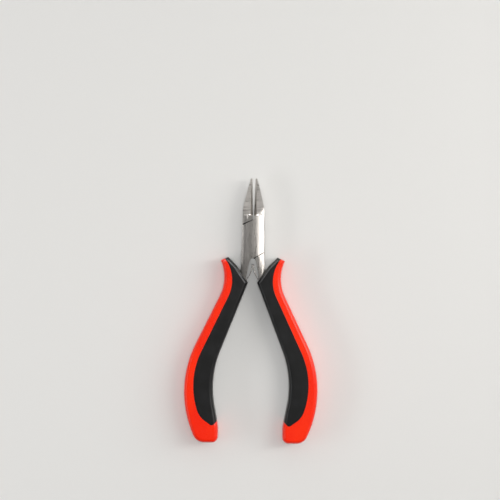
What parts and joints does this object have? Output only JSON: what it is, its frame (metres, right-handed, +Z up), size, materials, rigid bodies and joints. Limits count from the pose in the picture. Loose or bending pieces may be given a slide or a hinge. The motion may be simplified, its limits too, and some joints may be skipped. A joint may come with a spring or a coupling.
{
  "type": "sprue nippers",
  "caption": "Small spring-opened side cutters with a lap joint, tapered ground jaws and curved grips of hard and soft plastic, for snipping parts off moulded frames.",
  "frame": {"origin": "centre of the footprint at rest, on the plane that the backs of the grips lie on", "axes": "+Y from the handles to the jaws, +Z up out of the front of the tool, +X to the right in the front view"},
  "size_m": [0.0578, 0.1146, 0.01],
  "materials": {
    "lever_steel": "satin, finely ground along the tool",
    "rivet_steel": "satin, ground flush",
    "spring_steel": "bright rolled strip",
    "grip_shell_red": "glossy moulded plastic",
    "grip_pad_black": "matt soft moulding"
  },
  "bodies": {
    "back_half": {"back_lever": "lever_steel", "pivot_rivet": "rivet_steel", "right_spring_rivet": "rivet_steel", "right_grip_shell": "grip_shell_red", "right_grip_pad": "grip_pad_black"},
    "front_half": {"front_lever": "lever_steel", "left_spring_rivet": "rivet_steel", "left_grip_shell": "grip_shell_red", "left_grip_pad": "grip_pad_black"},
    "right_leaf": {"right_leaf_spring": "spring_steel"},
    "left_leaf": {"left_leaf_spring": "spring_steel"}
  },
  "joints": [
    {"name": "pivot", "type": "hinge", "parent": "back_half", "child": "front_half", "pos_m": [0, 0.03105, 0.005], "axis": [0, 0, -1], "range_deg": [-3, 10], "stiffness_Nm_per_rad": 1},
    {"name": "right_leaf_flex", "type": "hinge", "parent": "back_half", "child": "right_leaf", "pos_m": [0.00418, 0.01119, 0.005], "axis": [0, 0, 1], "range_deg": [-2, 6.5]},
    {"name": "left_leaf_flex", "type": "hinge", "parent": "front_half", "child": "left_leaf", "pos_m": [-0.00418, 0.01119, 0.005], "axis": [0, 0, -1], "range_deg": [-2, 6.5]}
  ],
  "couplings": [
    {"joint": "right_leaf_flex", "follows": "pivot", "ratio": 0.6},
    {"joint": "left_leaf_flex", "follows": "pivot", "ratio": 0.6}
  ]
}
